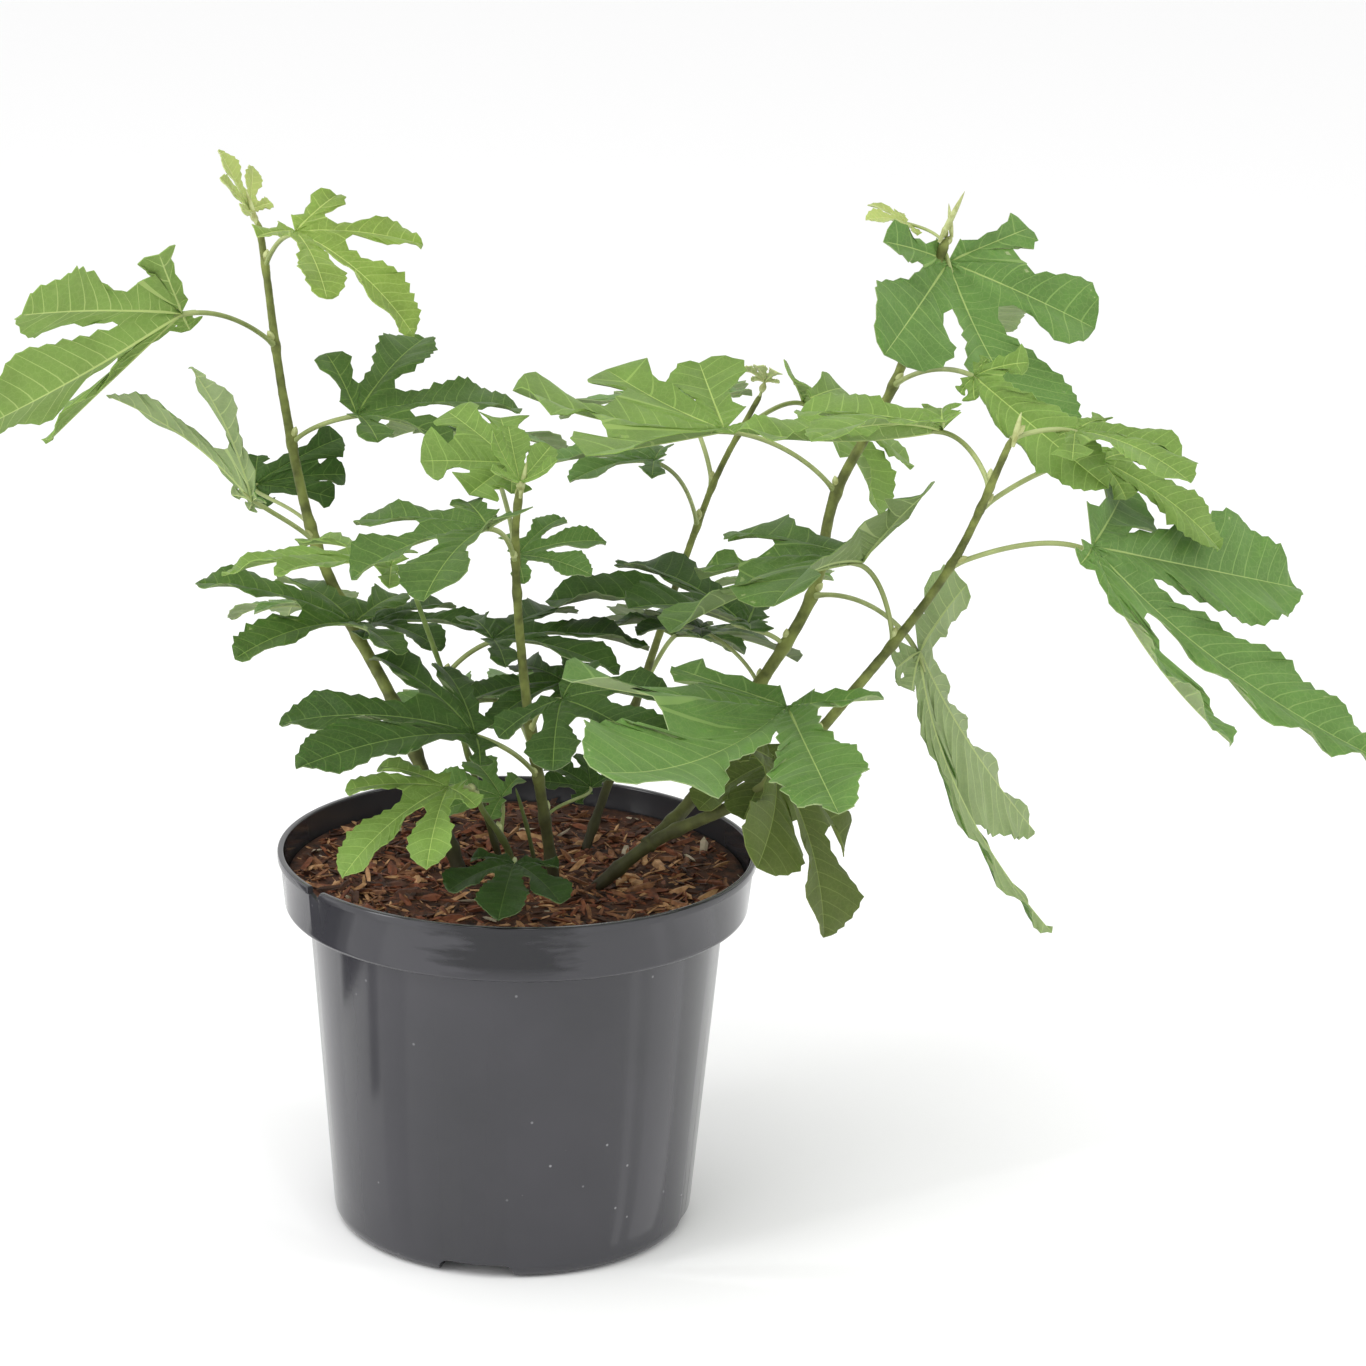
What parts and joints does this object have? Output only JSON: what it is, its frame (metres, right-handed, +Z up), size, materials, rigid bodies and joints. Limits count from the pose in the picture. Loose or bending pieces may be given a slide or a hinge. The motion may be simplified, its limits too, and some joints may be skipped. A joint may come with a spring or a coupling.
{
  "type": "potted fig tree",
  "caption": "Young fig tree with lobed leaves on long stalks, growing from slender stems in a round nursery pot filled with bark mulch.",
  "frame": {"origin": "centre of the flat pad under the pot", "axes": "+Z up, -Y the front of the plant, +X to its right as seen from the front"},
  "size_m": [0.6443, 0.4507, 0.5034],
  "materials": {
    "pot": "charcoal moulded plastic with a soft gloss",
    "mulch": "moist chipped bark",
    "bark_brown": "young olive-brown bark",
    "bark_green": "green shoot skin",
    "leaf_young": "thin young leaf, satin",
    "leaf_bright": "fresh leaf, satin",
    "leaf_middle": "grown leaf, matt and rough",
    "leaf_dark": "old shaded leaf, matt and rough",
    "leaf_olive": "ageing leaf with brown flecks"
  },
  "bodies": {
    "root": {"pot": "pot", "mulch": "mulch", "stem_left": "bark_brown", "stem_middle": "bark_brown", "stem_slim": "bark_brown", "stem_right": "bark_brown", "stem_tall": "bark_brown", "sprout_front": "bark_green", "sprout_small": "bark_green", "stem_thin": "bark_green", "leaf_left_1": "leaf_young", "leaf_left_2": "leaf_young", "leaf_left_3": "leaf_bright", "leaf_left_4": "leaf_bright", "leaf_left_5": "leaf_middle", "leaf_left_6": "leaf_dark", "leaf_left_7": "leaf_dark", "leaf_left_8": "leaf_dark", "leaf_left_9": "leaf_middle", "leaf_thin_1": "leaf_bright", "leaf_thin_2": "leaf_dark", "leaf_middle_1": "leaf_bright", "leaf_middle_2": "leaf_bright", "leaf_middle_3": "leaf_bright", "leaf_middle_4": "leaf_middle", "leaf_middle_5": "leaf_dark", "leaf_middle_6": "leaf_dark", "leaf_middle_7": "leaf_dark", "leaf_middle_8": "leaf_middle", "leaf_middle_9": "leaf_dark", "leaf_middle_10": "leaf_middle", "leaf_slim_1": "leaf_young", "leaf_slim_2": "leaf_bright", "leaf_slim_3": "leaf_middle", "leaf_slim_4": "leaf_middle", "leaf_slim_5": "leaf_dark", "leaf_tall_1": "leaf_young", "leaf_tall_2": "leaf_middle", "leaf_tall_3": "leaf_bright", "leaf_tall_4": "leaf_bright", "leaf_tall_5": "leaf_middle", "leaf_tall_6": "leaf_dark", "leaf_tall_7": "leaf_dark", "leaf_tall_8": "leaf_middle", "leaf_tall_9": "leaf_middle", "leaf_right_1": "leaf_bright", "leaf_right_2": "leaf_bright", "leaf_right_3": "leaf_bright", "leaf_right_4": "leaf_middle", "leaf_right_5": "leaf_middle", "leaf_right_6": "leaf_middle", "leaf_right_7": "leaf_olive", "leaf_right_8": "leaf_olive", "leaf_front_1": "leaf_bright", "leaf_front_2": "leaf_middle", "leaf_front_3": "leaf_dark"}
  },
  "joints": []
}
